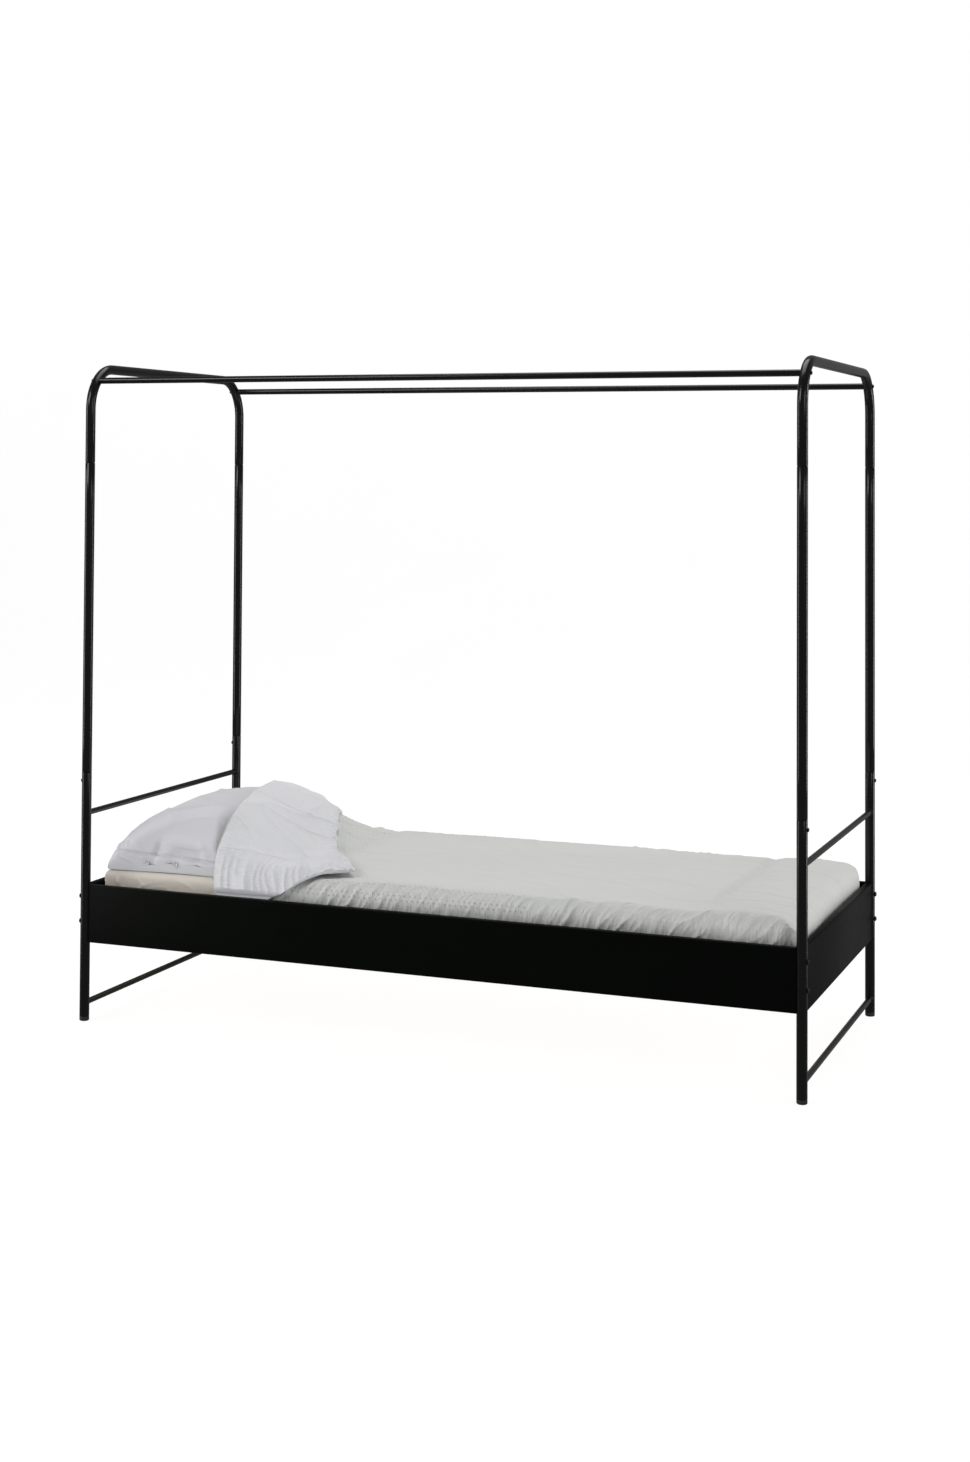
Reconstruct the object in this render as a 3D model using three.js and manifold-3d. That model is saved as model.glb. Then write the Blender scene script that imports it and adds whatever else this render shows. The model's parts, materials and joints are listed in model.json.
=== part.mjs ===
// A four-poster canopy bed for a single mattress, in millimetres, +Z up.
// X runs from the head (-X) to the foot (+X), Y across the bed, and the origin is on the floor in the middle.
// Two welded end frames stand on plastic glides and carry push-fit posts, hooped arches and two long canopy rails.
// Sheet-steel side rails hang between the end frames and hold a ledge each, on which the wooden slats lie.
import * as THREE from "three";
import { mergeVertices } from "three/addons/utils/BufferGeometryUtils.js";
import Module from "manifold-3d";

const wasm = await Module();
wasm.setup();

// ---- driving dimensions ----
const postPitchX = 2060; // post centre to post centre, along the bed
const postPitchY = 960; // post centre to post centre, across the bed
const overallHeight = 1880;
const postDiameter = 28;
const postWall = 1.5;
const legTop = 706; // where the middle post plugs into the leg
const archFoot = 1594; // where the arch plugs onto the middle post
const archBendRadius = 120; // to the tube's centreline
const spigotLength = 50;
const fitGap = 0.3; // between pieces that touch
const seamGap = 1; // the open line between two tubes that plug together

const glideHeight = 12;
const glidePlugLength = 22;
const glideEdge = 2.5;

const barDiameter = 16;
const barWall = 1.5;
const upperBarHeight = 590;
const lowerBarHeight = 50;

const panelBottom = 223;
const panelHeight = 164;
const panelDepth = 20;
const panelProud = 8; // how far the panel's face stands out from the line of the post centres
const panelSheet = 1.5;
const panelLip = 9;
const endPlate = 3; // at its thinnest, where it hugs the leg

const ledgeReach = 38;
const ledgeDrop = 25;
const ledgeSheet = 2;

const slatCount = 12;
const slatWidth = 80;
const slatThickness = 18;
const slatTop = 273;
const slatEndGap = 2; // between a slat's end and the panel's lip
const strapWidth = 25;
const strapThickness = 2;
const strapOffset = 300;

const railDiameter = 18;
const railWall = 1.5;
const railPlugLength = 20;

const frameBolt = { shank: 8, head: 14, headHeight: 4.5, hole: 8.8, nut: 15, nutHeight: 7 };
const tubeBolt = { shank: 6, head: 11, headHeight: 3.5, hole: 6.8 };
const frameBoltHeights = [282, 353];
const seamBoltDrop = 24; // below the leg's top
const seamBoltReach = 8; // how far a seam bolt reaches past the post's centre

const mattressLength = 2000;
const mattressWidth = 900;
const mattressHeight = 150;
const mattressCorner = 45;
const sheetThickness = 1.2;
const sheetSkirt = 110; // how far the fitted sheet reaches down the mattress side

const duvetThickness = 16;
const duvetClearance = 2; // over the pillow
const duvetSkirt = 100; // how far the duvet hangs down beside the mattress
const duvetEdgeRound = 16;
const duvetHead = -700; // the duvet's head edge, folded back over the pillow
const duvetRampFoot = -430; // where the duvet comes down from the pillow onto the mattress
const pillow = { x: -745, length: 490, width: 840, height: 172 };
const pillowUnder = 0.38; // share of the pillow's height below its widest line

// ---- worked-out sizes ----
const postRadius = postDiameter / 2;
const boreRadius = postRadius - postWall;
const spigotRadius = boreRadius - fitGap;
const postX = postPitchX / 2;
const postY = postPitchY / 2;
const archTop = overallHeight - postRadius;
const panelTop = panelBottom + panelHeight;
const slatSpan = 2 * (postY + panelProud - panelDepth - slatEndGap);
const ledgeTop = slatTop - slatThickness - fitGap;
const mattressBottom = slatTop + fitGap;
const mattressTop = mattressBottom + mattressHeight;
const sheetTop = mattressTop + fitGap + sheetThickness;
const bendCentreY = postY - archBendRadius;
const bendCentreZ = archTop - archBendRadius;
const railY = bendCentreY + archBendRadius * Math.SQRT1_2;
const railZ = bendCentreZ + archBendRadius * Math.SQRT1_2;

// ---- materials ----
const blackSteel = new THREE.MeshStandardMaterial({ color: 0x16171a, roughness: 0.45, metalness: 0.3 });
const blackPlastic = new THREE.MeshStandardMaterial({ color: 0x0e0e0f, roughness: 0.6, metalness: 0 });
const boltSteel = new THREE.MeshStandardMaterial({ color: 0x111214, roughness: 0.35, metalness: 0.6 });
const pine = new THREE.MeshStandardMaterial({ color: 0xd9bd8e, roughness: 0.7, metalness: 0 });
const webbing = new THREE.MeshStandardMaterial({ color: 0xe6e4dc, roughness: 0.9, metalness: 0 });
const ticking = new THREE.MeshStandardMaterial({ color: 0xece9e2, roughness: 0.9, metalness: 0 });
const creamSheet = new THREE.MeshStandardMaterial({ color: 0xd8d2c6, roughness: 0.9, metalness: 0 });
const sageCotton = new THREE.MeshStandardMaterial({ color: 0xc9ccc7, roughness: 0.9, metalness: 0 });
const greyCotton = new THREE.MeshStandardMaterial({ color: 0xc8c8ce, roughness: 0.9, metalness: 0 });

const bed = new THREE.Group();

// ---- helpers ----
function solidOf(geometry) {
  const bare = geometry.index ? geometry.toNonIndexed() : geometry.clone();
  bare.deleteAttribute("normal");
  bare.deleteAttribute("uv");
  const merged = mergeVertices(bare, 1e-3);
  return new wasm.Manifold(
    new wasm.Mesh({
      numProp: 3,
      vertProperties: merged.attributes.position.array,
      triVerts: new Uint32Array(merged.index.array),
    }),
  );
}

function geometryOf(solid) {
  const mesh = solid.getMesh();
  const positions = new Float32Array(mesh.numVert * 3);
  for (let i = 0; i < mesh.numVert; i++) {
    positions.set(mesh.vertProperties.subarray(i * mesh.numProp, i * mesh.numProp + 3), i * 3);
  }
  return new THREE.BufferGeometry()
    .setAttribute("position", new THREE.BufferAttribute(positions, 3))
    .setIndex(new THREE.BufferAttribute(mesh.triVerts, 1));
}

// Cuts tools out of a geometry, after joining others to it.
function shaped(geometry, { join = [], cut = [] }) {
  let solid = solidOf(geometry);
  for (const g of join) solid = solid.add(solidOf(g));
  for (const g of cut) solid = solid.subtract(solidOf(g));
  return geometryOf(solid);
}

function add(name, geometry, material, position = [0, 0, 0], rotation = [0, 0, 0]) {
  const mesh = new THREE.Mesh(geometry, material);
  mesh.name = name;
  mesh.position.set(...position);
  mesh.rotation.set(...rotation);
  bed.add(mesh);
  return mesh;
}

// A turned piece along +Z from [radius, height] pairs, listed upwards on the outside; a ring comes back down inside.
function turned(profile, segments = 20) {
  const points = profile.map(([r, z]) => new THREE.Vector2(r, z));
  return new THREE.LatheGeometry(points, segments).rotateX(Math.PI / 2);
}

function tube(outer, inner, low, high, segments = 20) {
  return turned([[inner, low], [outer, low], [outer, high], [inner, high], [inner, low]], segments);
}

function rod(radius, low, high, segments = 20) {
  return turned([[0, low], [radius, low], [radius, high], [0, high]], segments);
}

function along(axis, geometry) {
  if (axis === "x") return geometry.rotateY(Math.PI / 2);
  if (axis === "y") return geometry.rotateX(-Math.PI / 2);
  return geometry;
}

// A rod that cuts clearance round a post standing at x, y.
function postCutter(x, y, low, high) {
  return rod(postRadius + fitGap, low, high).translate(x, y, 0);
}

const corners = [
  { name: "head_near", end: "head", side: "near", sx: -1, sy: -1 },
  { name: "head_far", end: "head", side: "far", sx: -1, sy: 1 },
  { name: "foot_near", end: "foot", side: "near", sx: 1, sy: -1 },
  { name: "foot_far", end: "foot", side: "far", sx: 1, sy: 1 },
];

// ---- glides and legs ----
function glide() {
  const plug = spigotRadius;
  return turned([
    [0, 0],
    [postRadius - glideEdge, 0],
    [postRadius - 0.6, glideEdge / 2],
    [postRadius, glideEdge * 1.4],
    [postRadius, glideHeight],
    [plug, glideHeight],
    [plug, glideHeight + glidePlugLength],
    [0, glideHeight + glidePlugLength],
  ]);
}

function leg() {
  const bore = (bolt, z) => along("x", rod(bolt.hole / 2, -postDiameter, postDiameter, 12)).translate(0, 0, z);
  const seamHole = along("x", rod(tubeBolt.hole / 2, 0, postDiameter, 12)).translate(0, 0, legTop - seamBoltDrop);
  return shaped(tube(postRadius, boreRadius, glideHeight + fitGap, legTop), {
    cut: [...frameBoltHeights.map((z) => bore(frameBolt, z)), seamHole],
  });
}

// ---- middle post: a tube drawn down to a spigot at both ends ----
function middlePost() {
  const low = legTop + seamGap;
  const high = archFoot - seamGap;
  const spigotBore = spigotRadius - postWall;
  const profile = [
    [spigotBore, low - spigotLength],
    [spigotRadius, low - spigotLength],
    [spigotRadius, low],
    [postRadius, low],
    [postRadius, high],
    [spigotRadius, high],
    [spigotRadius, high + spigotLength],
    [spigotBore, high + spigotLength],
    [spigotBore, high - postWall],
    [boreRadius, high - 2 * postWall],
    [boreRadius, low + 2 * postWall],
    [spigotBore, low + postWall],
    [spigotBore, low - spigotLength],
  ];
  const seamHole = along("x", rod(tubeBolt.hole / 2, 0, postDiameter, 12)).translate(0, 0, legTop - seamBoltDrop);
  return shaped(turned(profile), { cut: [seamHole] });
}

// ---- arch: one tube bent twice, seen along its own path ----
class ArchPath extends THREE.Curve {
  constructor(bendSteps) {
    super();
    this.bendSteps = bendSteps;
    this.stops = [{ point: new THREE.Vector3(0, -postY, archFoot), angle: Math.PI / 2 }];
    for (const side of [-1, 1]) {
      for (let i = 0; i <= bendSteps; i++) {
        const turn = (i / bendSteps) * (Math.PI / 2);
        const lift = side < 0 ? turn : Math.PI / 2 - turn;
        const y = side * (bendCentreY + archBendRadius * Math.cos(lift));
        const z = bendCentreZ + archBendRadius * Math.sin(lift);
        this.stops.push({ point: new THREE.Vector3(0, y, z), angle: side < 0 ? Math.PI / 2 - turn : -turn });
      }
    }
    this.stops.push({ point: new THREE.Vector3(0, postY, archFoot), angle: -Math.PI / 2 });
  }
  get steps() {
    return this.stops.length - 1;
  }
  stop(u) {
    return this.stops[Math.round(u * this.steps)];
  }
  getPointAt(u, target = new THREE.Vector3()) {
    return target.copy(this.stop(u).point);
  }
  getTangentAt(u, target = new THREE.Vector3()) {
    const { angle } = this.stop(u);
    return target.set(0, Math.cos(angle), Math.sin(angle));
  }
}

function arch() {
  const path = new ArchPath(6);
  const section = new THREE.Shape().absarc(0, 0, postRadius, 0, 2 * Math.PI);
  section.holes.push(new THREE.Path().absarc(0, 0, boreRadius, 0, 2 * Math.PI, true));
  const bent = new THREE.ExtrudeGeometry(section, { extrudePath: path, steps: path.steps, curveSegments: 10 });
  const holes = [-1, 1].map((side) =>
    along("x", rod(tubeBolt.hole / 2, -postDiameter, postDiameter, 12)).translate(0, side * railY, railZ),
  );
  return shaped(bent, { cut: holes });
}

// ---- cross bars of an end frame, notched to the legs ----
function crossBar(z) {
  const bar = along("y", tube(barDiameter / 2, barDiameter / 2 - barWall, -postY, postY, 20)).translate(0, 0, z);
  const cut = [-1, 1].map((side) => postCutter(0, side * postY, z - barDiameter, z + barDiameter));
  return shaped(bar, { cut });
}

// ---- sheet-steel channel: a face with folded flanges and lips, open to the inside of the bed ----
function channel(length) {
  const inner = panelDepth - panelSheet;
  const outline = new THREE.Shape([
    new THREE.Vector2(0, 0),
    new THREE.Vector2(panelDepth, 0),
    new THREE.Vector2(panelDepth, panelLip),
    new THREE.Vector2(inner, panelLip),
    new THREE.Vector2(inner, panelSheet),
    new THREE.Vector2(panelSheet, panelSheet),
    new THREE.Vector2(panelSheet, panelHeight - panelSheet),
    new THREE.Vector2(inner, panelHeight - panelSheet),
    new THREE.Vector2(inner, panelHeight - panelLip),
    new THREE.Vector2(panelDepth, panelHeight - panelLip),
    new THREE.Vector2(panelDepth, panelHeight),
    new THREE.Vector2(0, panelHeight),
  ]);
  // The outline's x points into the bed from the face, its y up; the length runs along X.
  return new THREE.ExtrudeGeometry(outline, { depth: length, bevelEnabled: false })
    .translate(0, 0, -length / 2)
    .rotateX(Math.PI / 2)
    .rotateZ(Math.PI / 2);
}

function endPanel() {
  const panel = channel(postPitchY).rotateZ(Math.PI / 2).translate(panelProud, 0, panelBottom);
  return shaped(panel, { cut: [-1, 1].map((side) => postCutter(0, side * postY, panelBottom - 1, panelTop + 1)) });
}

function sidePanel() {
  const half = postX - (panelDepth - panelProud) - fitGap;
  const plateFace = postX - postRadius - fitGap - endPlate; // the side away from the leg
  const panelFace = -panelProud; // the post centres are on y = 0, the inside of the bed on their +Y side
  const join = [];
  const cut = [];
  for (const end of [-1, 1]) {
    const plate = new THREE.BoxGeometry(half - plateFace, panelDepth - panelSheet, panelHeight - panelSheet);
    join.push(plate.translate((end * (half + plateFace)) / 2, panelFace + panelDepth / 2, panelHeight / 2));
    for (const z of frameBoltHeights) {
      const nut = along("x", rod(frameBolt.nut / 2, -frameBolt.nutHeight, 1, 6));
      if (end < 0) nut.rotateY(Math.PI);
      join.push(nut.translate(end * plateFace, 0, z - panelBottom));
      const bore = along("x", rod(frameBolt.hole / 2, -postRadius, postRadius, 12));
      cut.push(bore.translate(end * plateFace, 0, z - panelBottom));
    }
    cut.push(postCutter(end * postX, 0, -1, panelHeight + 1));
  }
  const panel = channel(2 * half).translate(0, panelFace, 0);
  return shaped(panel, { join, cut }).translate(0, 0, panelBottom);
}

// ---- ledge: an angle inside the side panel that carries the slats ----
function ledge() {
  const length = postPitchX - 2 * (postRadius + fitGap + endPlate + frameBolt.nutHeight + 12);
  const outline = new THREE.Shape([
    new THREE.Vector2(0, 0),
    new THREE.Vector2(ledgeReach, 0),
    new THREE.Vector2(ledgeReach, -ledgeSheet),
    new THREE.Vector2(ledgeSheet, -ledgeSheet),
    new THREE.Vector2(ledgeSheet, -ledgeDrop),
    new THREE.Vector2(0, -ledgeDrop),
  ]);
  return new THREE.ExtrudeGeometry(outline, { depth: length, bevelEnabled: false })
    .translate(0, 0, -length / 2)
    .rotateX(Math.PI / 2)
    .rotateZ(Math.PI / 2)
    .translate(0, -panelProud + panelSheet + fitGap, ledgeTop);
}

// ---- canopy rail: a tube with threaded plugs in its ends, saddled to the arches' bends ----
function canopyRail(side) {
  const half = postX;
  const plugBore = tubeBolt.hole / 2;
  const bore = railDiameter / 2 - railWall;
  const deep = postRadius + fitGap + railPlugLength;
  const profile = [
    [plugBore, -half],
    [railDiameter / 2, -half],
    [railDiameter / 2, half],
    [plugBore, half],
    [plugBore, half - deep],
    [bore, half - deep],
    [bore, deep - half],
    [plugBore, deep - half],
    [plugBore, -half],
  ];
  const saddle = (x) =>
    rod(postRadius + 2 * fitGap, -60, 60).rotateX((side * Math.PI) / 4).translate(x, 0, 0);
  return shaped(along("x", turned(profile, 20)), { cut: [saddle(-half), saddle(half)] });
}

// ---- bolts: a domed head outside (+Z) and a plain shank below it ----
function bolt(size, shankLength) {
  const head = size.head / 2;
  return turned(
    [
      [0, -shankLength],
      [size.shank / 2, -shankLength],
      [size.shank / 2, 0],
      [head, 0],
      [head, size.headHeight * 0.4],
      [head * 0.8, size.headHeight * 0.8],
      [head * 0.45, size.headHeight],
      [0, size.headHeight],
    ],
    12,
  );
}

// ---- bedding ----
function roundedSlab(length, width, corner, low, high) {
  const x = length / 2;
  const y = width / 2;
  const outline = new THREE.Shape()
    .moveTo(-x + corner, -y)
    .lineTo(x - corner, -y)
    .absarc(x - corner, -y + corner, corner, -Math.PI / 2, 0)
    .lineTo(x, y - corner)
    .absarc(x - corner, y - corner, corner, 0, Math.PI / 2)
    .lineTo(-x + corner, y)
    .absarc(-x + corner, y - corner, corner, Math.PI / 2, Math.PI)
    .lineTo(-x, -y + corner)
    .absarc(-x + corner, -y + corner, corner, Math.PI, Math.PI * 1.5);
  return new THREE.ExtrudeGeometry(outline, { depth: high - low, bevelEnabled: false, curveSegments: 5 })
    .translate(0, 0, low);
}

function mattress() {
  return roundedSlab(mattressLength, mattressWidth, mattressCorner, mattressBottom, mattressTop);
}

// A skin over the mattress, open below.
function fittedSheet() {
  const grow = 2 * (fitGap + sheetThickness);
  const skirt = mattressTop - sheetSkirt;
  const outer = roundedSlab(mattressLength + grow, mattressWidth + grow, mattressCorner, skirt, sheetTop);
  const inside = 2 * fitGap;
  const inner = roundedSlab(
    mattressLength + inside, mattressWidth + inside, mattressCorner, skirt - 1, mattressTop + fitGap,
  );
  return shaped(outer, { cut: [inner] });
}

// A plump pillow: a squared-off ball lying on the sheet. The room a duvet leaves for it has plumb sides
// below the widest line, so that the duvet lifts straight off.
function pillowBody(clearance, plumb = false) {
  const shape = new THREE.SphereGeometry(1, 24, 14).rotateX(Math.PI / 2);
  const at = shape.attributes.position;
  const square = (v) => Math.sign(v) * Math.abs(v) ** 0.6;
  for (let i = 0; i < at.count; i++) {
    const up = at.getZ(i);
    const wide = Math.hypot(at.getX(i), at.getY(i));
    const spread = plumb && up < 0 && wide > 1e-6 ? 1 / wide : 1;
    const x = square(at.getX(i) * spread) * (pillow.length / 2 + clearance);
    const y = square(at.getY(i) * spread) * (pillow.width / 2 + clearance);
    const z = up * (pillow.height * (up > 0 ? 1 - pillowUnder : pillowUnder) + clearance);
    at.setXYZ(i, x, y, z);
  }
  return shape.translate(pillow.x, 0, sheetTop + fitGap + pillow.height * pillowUnder);
}

// The duvet: a quilt over the mattress with its sides tucked inside the rails, climbing over the pillow at the head.
function duvet() {
  const bottom = sheetTop + fitGap;
  const top = bottom + duvetThickness;
  const foot = mattressLength / 2 + fitGap + sheetThickness;
  const outerFoot = foot + duvetThickness * 0.75;
  const crest = bottom + pillow.height + duvetClearance + duvetThickness * 1.3;
  const climb = [[90, 72], [150, 22], [215, 0]]; // [back from the ramp's foot, down from the crest]
  const width = mattressWidth + 2 * (sheetThickness + fitGap) + duvetThickness * 1.5;
  const side = new THREE.Shape()
    .moveTo(outerFoot, bottom - duvetSkirt)
    .lineTo(outerFoot, top - duvetEdgeRound)
    .absarc(outerFoot - duvetEdgeRound, top - duvetEdgeRound, duvetEdgeRound, 0, Math.PI / 2)
    .lineTo(duvetRampFoot, top);
  for (const [back, down] of climb) side.lineTo(duvetRampFoot - back, crest - down);
  side.lineTo(duvetHead, crest).lineTo(duvetHead, bottom - duvetSkirt);
  const slab = new THREE.ExtrudeGeometry(side, { depth: width, bevelEnabled: false, curveSegments: 6 })
    .translate(0, 0, -width / 2)
    .rotateX(Math.PI / 2);
  const room = 2 * (2 * fitGap + sheetThickness);
  const bedding = roundedSlab(
    mattressLength + room, mattressWidth + room, mattressCorner, bottom - duvetSkirt - 1, bottom,
  );
  return shaped(slab, { cut: [bedding, pillowBody(duvetClearance, true)] });
}

// ---- assembly ----
const glideShape = glide();
const legShape = leg();
const postShape = middlePost();
const seamBoltShape = bolt(tubeBolt, postRadius + seamBoltReach);
const frameBoltLength = postDiameter + 2 * fitGap + endPlate + frameBolt.nutHeight;
const frameBoltShape = bolt(frameBolt, frameBoltLength);
const railBoltShape = bolt(tubeBolt, postDiameter + 3 * fitGap + railPlugLength * 0.6);

for (const { name, sx, sy } of corners) {
  const turn = [0, 0, sx > 0 ? 0 : Math.PI]; // the bolt holes face away from the bed
  const outward = [0, (sx * Math.PI) / 2, 0];
  const headSeat = sx * (postX + postRadius + fitGap);
  add(`glide_${name}`, glideShape, blackPlastic, [sx * postX, sy * postY, 0]);
  add(`leg_${name}`, legShape, blackSteel, [sx * postX, sy * postY, 0], turn);
  add(`post_${name}`, postShape, blackSteel, [sx * postX, sy * postY, 0], turn);
  add(`seam_bolt_${name}`, seamBoltShape, boltSteel, [headSeat, sy * postY, legTop - seamBoltDrop], outward);
  frameBoltHeights.forEach((z, i) => {
    const level = i === 0 ? "lower" : "upper";
    add(`side_bolt_${name}_${level}`, frameBoltShape, boltSteel, [headSeat, sy * postY, z], outward);
  });
  add(`rail_bolt_${name}`, railBoltShape, boltSteel, [headSeat, sy * railY, railZ], outward);
}

const archShape = arch();
const upperBarShape = crossBar(upperBarHeight);
const lowerBarShape = crossBar(lowerBarHeight);
const endPanelShape = endPanel();
for (const [end, sx] of [["head", -1], ["foot", 1]]) {
  const turn = [0, 0, sx > 0 ? 0 : Math.PI];
  add(`arch_${end}`, archShape, blackSteel, [sx * postX, 0, 0], turn);
  add(`upper_bar_${end}`, upperBarShape, blackSteel, [sx * postX, 0, 0]);
  add(`lower_bar_${end}`, lowerBarShape, blackSteel, [sx * postX, 0, 0]);
  add(`end_panel_${end}`, endPanelShape, blackSteel, [sx * postX, 0, 0], turn);
}

const sidePanelShape = sidePanel();
const ledgeShape = ledge();
for (const [side, sy] of [["near", -1], ["far", 1]]) {
  const turn = [0, 0, sy < 0 ? 0 : Math.PI];
  add(`side_panel_${side}`, sidePanelShape, blackSteel, [0, sy * postY, 0], turn);
  add(`slat_ledge_${side}`, ledgeShape, blackSteel, [0, sy * postY, 0], turn);
  add(`canopy_rail_${side}`, canopyRail(sy), blackSteel, [0, sy * railY, railZ]);
}

const slatRun = mattressLength - slatWidth - 20;
const slatShape = new THREE.BoxGeometry(slatWidth, slatSpan, slatThickness);
for (let i = 0; i < slatCount; i++) {
  const x = -slatRun / 2 + (i * slatRun) / (slatCount - 1);
  const number = String(i + 1).padStart(2, "0");
  add(`slat_${number}`, slatShape, pine, [x, 0, slatTop - slatThickness / 2]);
}
const strapShape = new THREE.BoxGeometry(slatRun + slatWidth, strapWidth, strapThickness);
for (const [side, sy] of [["near", -1], ["far", 1]]) {
  const z = slatTop - slatThickness - fitGap - strapThickness / 2;
  add(`slat_strap_${side}`, strapShape, webbing, [0, sy * strapOffset, z]);
}

add("mattress", mattress(), ticking);
add("fitted_sheet", fittedSheet(), creamSheet);
add("pillow", pillowBody(0), greyCotton);
add("duvet", duvet(), sageCotton);

export default bed;
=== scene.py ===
import json
import math

import bpy
import numpy as np
from mathutils import Matrix, Vector


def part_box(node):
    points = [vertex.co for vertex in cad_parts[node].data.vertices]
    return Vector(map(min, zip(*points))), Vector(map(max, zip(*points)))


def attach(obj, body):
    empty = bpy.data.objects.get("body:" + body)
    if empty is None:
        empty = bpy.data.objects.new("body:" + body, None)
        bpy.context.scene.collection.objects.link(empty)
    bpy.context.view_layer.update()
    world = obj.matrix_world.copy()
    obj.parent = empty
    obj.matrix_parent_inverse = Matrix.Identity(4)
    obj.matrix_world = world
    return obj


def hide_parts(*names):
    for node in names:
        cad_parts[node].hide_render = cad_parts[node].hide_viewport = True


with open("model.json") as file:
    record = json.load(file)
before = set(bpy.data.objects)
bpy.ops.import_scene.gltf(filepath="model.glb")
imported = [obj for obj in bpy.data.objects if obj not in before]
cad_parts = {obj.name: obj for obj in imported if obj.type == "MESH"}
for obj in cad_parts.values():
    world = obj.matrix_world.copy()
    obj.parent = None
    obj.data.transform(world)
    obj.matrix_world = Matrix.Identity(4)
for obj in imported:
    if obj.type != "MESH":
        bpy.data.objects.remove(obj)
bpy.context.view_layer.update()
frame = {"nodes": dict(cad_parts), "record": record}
nodes = frame["nodes"]
print("frame loaded:", len(nodes), "nodes")

# where the frame's pieces are, taken from the CAD
corners = {
    f"{end}_{side}": Vector(sum((np.array(p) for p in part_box(f"leg_{end}_{side}")), np.zeros(3)) / 2)
    for end in ("head", "foot")
    for side in ("near", "far")
}
postX = corners["foot_near"].x
postY = -corners["foot_near"].y
postRadius = (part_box("leg_foot_near")[1].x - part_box("leg_foot_near")[0].x) / 2
legLow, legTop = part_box("leg_foot_near")[0].z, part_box("leg_foot_near")[1].z
archFoot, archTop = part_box("arch_foot")[0].z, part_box("arch_foot")[1].z - postRadius
panelLow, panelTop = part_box("side_panel_near")[0].z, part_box("side_panel_near")[1].z
panelInside = -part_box("side_panel_near")[1].y
railLow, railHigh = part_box("canopy_rail_near")
railY, railZ = -(railLow.y + railHigh.y) / 2, (railLow.z + railHigh.z) / 2
mattressLow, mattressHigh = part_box("mattress")
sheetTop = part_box("fitted_sheet")[1].z


# the camera: its place in metres, angles in radians, lens and sensor in millimetres
view = dict(
    place=(2.157, -5.9311, 1.5723), yaw=0.3884, pitch=0.03, roll=0.0065, lens=53.413, sensor=36,
    shift=(0.0596, -0.2217), farClip=60,
)


def setCamera():
    yaw, pitch, roll = view["yaw"], view["pitch"], view["roll"]
    ahead = Vector((-math.sin(yaw) * math.cos(pitch), math.cos(yaw) * math.cos(pitch), math.sin(pitch)))
    right = Vector((math.cos(yaw), math.sin(yaw), 0))
    up = right.cross(ahead)
    turned = right * math.cos(roll) + up * math.sin(roll)
    up = up * math.cos(roll) - right * math.sin(roll)
    data = bpy.data.cameras.new("camera")
    data.lens, data.sensor_width, data.sensor_fit = view["lens"], view["sensor"], "AUTO"
    data.shift_x, data.shift_y = view["shift"]
    data.clip_end = view["farClip"]
    camera = bpy.data.objects.new("camera", data)
    camera.matrix_world = Matrix((turned, up, -ahead)).transposed().to_4x4()
    camera.location = view["place"]
    bpy.context.scene.collection.objects.link(camera)
    bpy.context.scene.camera = camera


setCamera()


# one output of a shader node, with plain maths on it
class Wire:

    def __init__(self, tree, socket):
        self.tree, self.socket = tree, socket

    def calc(self, operation, first, second=None):
        made = self.tree.nodes.new("ShaderNodeMath")
        made.operation = operation
        for index, value in enumerate((first, second)):
            if value is not None:
                plug(self.tree, value, made.inputs[index])
        return Wire(self.tree, made.outputs[0])

    def __add__(self, other):
        return self.calc("ADD", self, other)

    def __radd__(self, other):
        return self.calc("ADD", other, self)

    def __sub__(self, other):
        return self.calc("SUBTRACT", self, other)

    def __rsub__(self, other):
        return self.calc("SUBTRACT", other, self)

    def __mul__(self, other):
        return self.calc("MULTIPLY", self, other)

    def __rmul__(self, other):
        return self.calc("MULTIPLY", other, self)

    def __truediv__(self, other):
        return self.calc("DIVIDE", self, other)

    def __rtruediv__(self, other):
        return self.calc("DIVIDE", other, self)

    def __pow__(self, other):
        return self.calc("POWER", self, other)

    def __neg__(self):
        return self.calc("MULTIPLY", self, -1.0)

    def __gt__(self, other):
        return self.calc("GREATER_THAN", self, other)

    def __mod__(self, other):
        return self.calc("FLOORED_MODULO", self, other)

    def sin(self):
        return self.calc("SINE", self)

    def floor(self):
        return self.calc("FLOOR", self)

    def abs(self):
        return self.calc("ABSOLUTE", self)

    def atMost(self, other):
        return self.calc("MINIMUM", self, other)

    def atLeast(self, other):
        return self.calc("MAXIMUM", self, other)


def plug(tree, value, socket):
    if isinstance(value, Wire):
        tree.links.new(value.socket, socket)
    elif hasattr(socket, "default_value"):
        socket.default_value = value


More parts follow.
